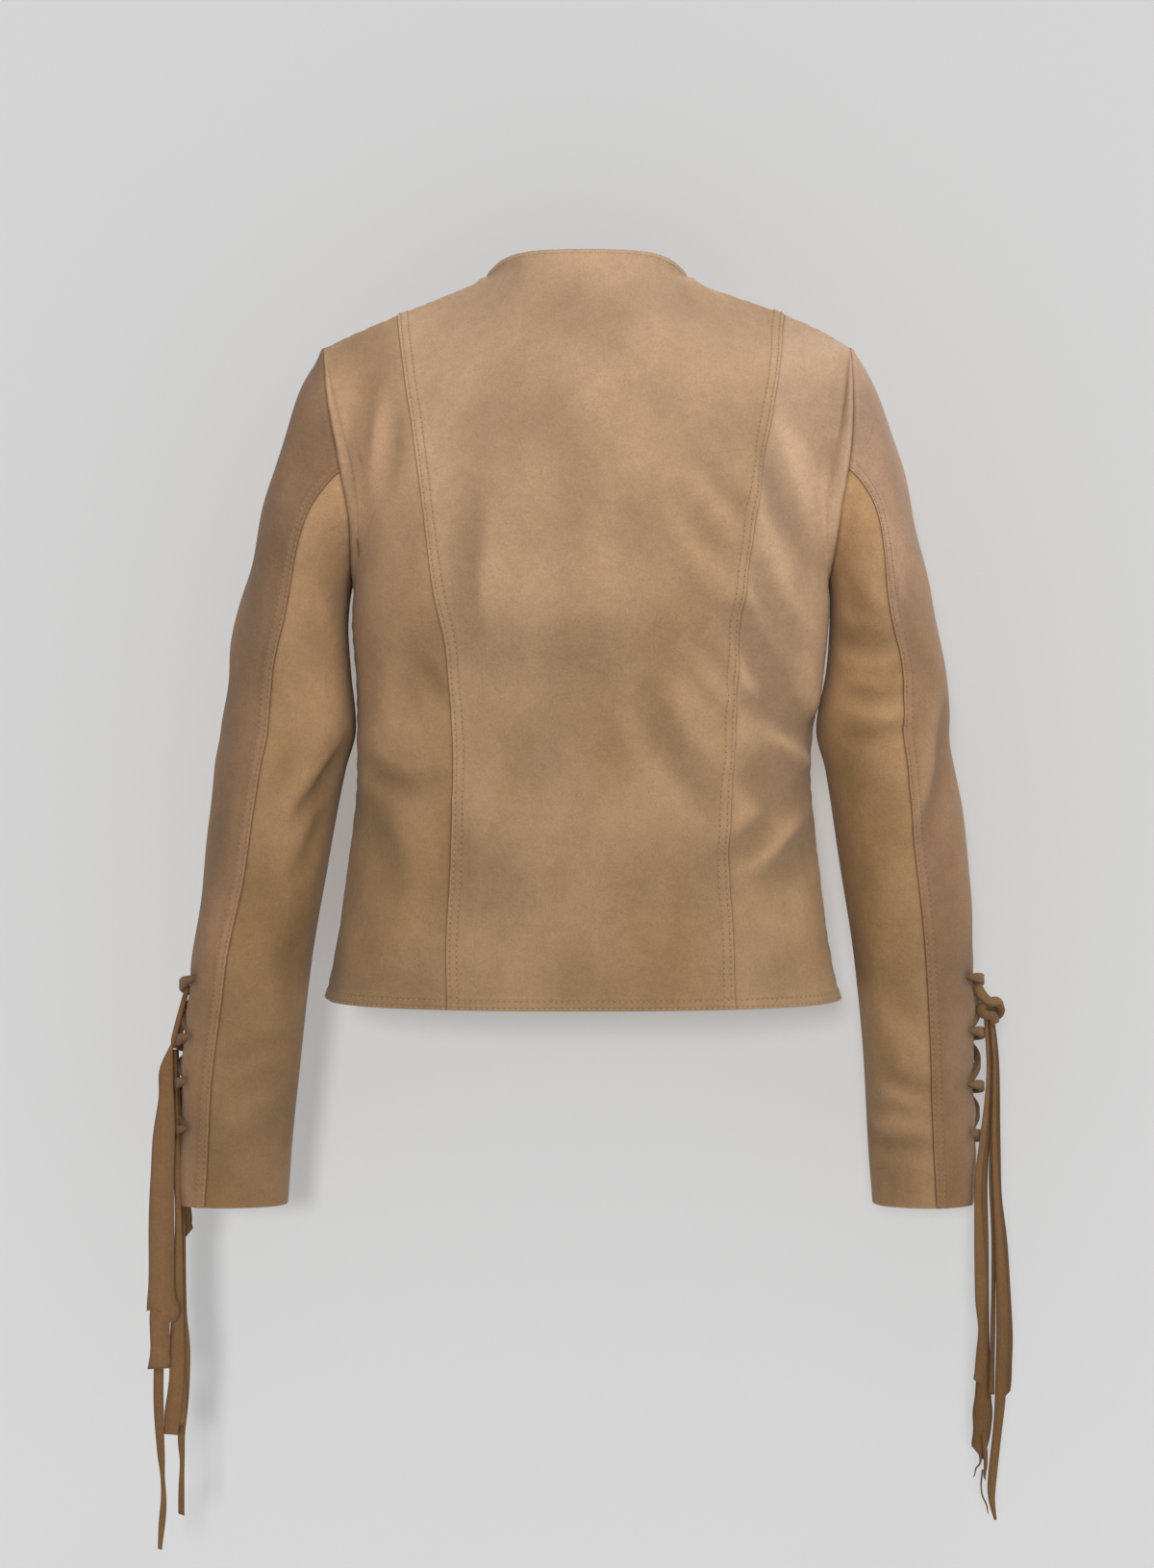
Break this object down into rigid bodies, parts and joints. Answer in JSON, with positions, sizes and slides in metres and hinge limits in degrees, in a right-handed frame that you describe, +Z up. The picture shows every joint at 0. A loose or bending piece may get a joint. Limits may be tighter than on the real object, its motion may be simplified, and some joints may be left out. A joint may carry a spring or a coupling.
{
  "type": "suede jacket",
  "caption": "Cropped, collarless suede jacket with princess seams behind, long two-piece sleeves and laced cuff vents hung with cut fringe, filled out and hollow.",
  "frame": {"origin": "middle of the neck opening at the height of the side neck, where the wearer carries the jacket", "axes": "+Z up, -Y out of the back, +Y out of the front, +X towards the wearer's right"},
  "size_m": [0.6425, 0.2313, 0.9528],
  "materials": {
    "suede_body": "napped suede, mottled tan",
    "suede_sleeve": "napped suede, pinkish brown",
    "suede_under": "napped suede, olive brown",
    "suede_fringe": "cut suede strip, darker brown"
  },
  "bodies": {
    "root": {"centre_back": "suede_body", "side_back_left": "suede_body", "side_back_right": "suede_body", "front_left": "suede_body", "front_right": "suede_body", "top_sleeve_left": "suede_sleeve", "top_sleeve_right": "suede_sleeve", "under_sleeve_left": "suede_under", "under_sleeve_right": "suede_under", "lace_left": "suede_fringe", "lace_right": "suede_fringe", "tassel_left": "suede_fringe", "tassel_right": "suede_fringe"}
  },
  "joints": []
}
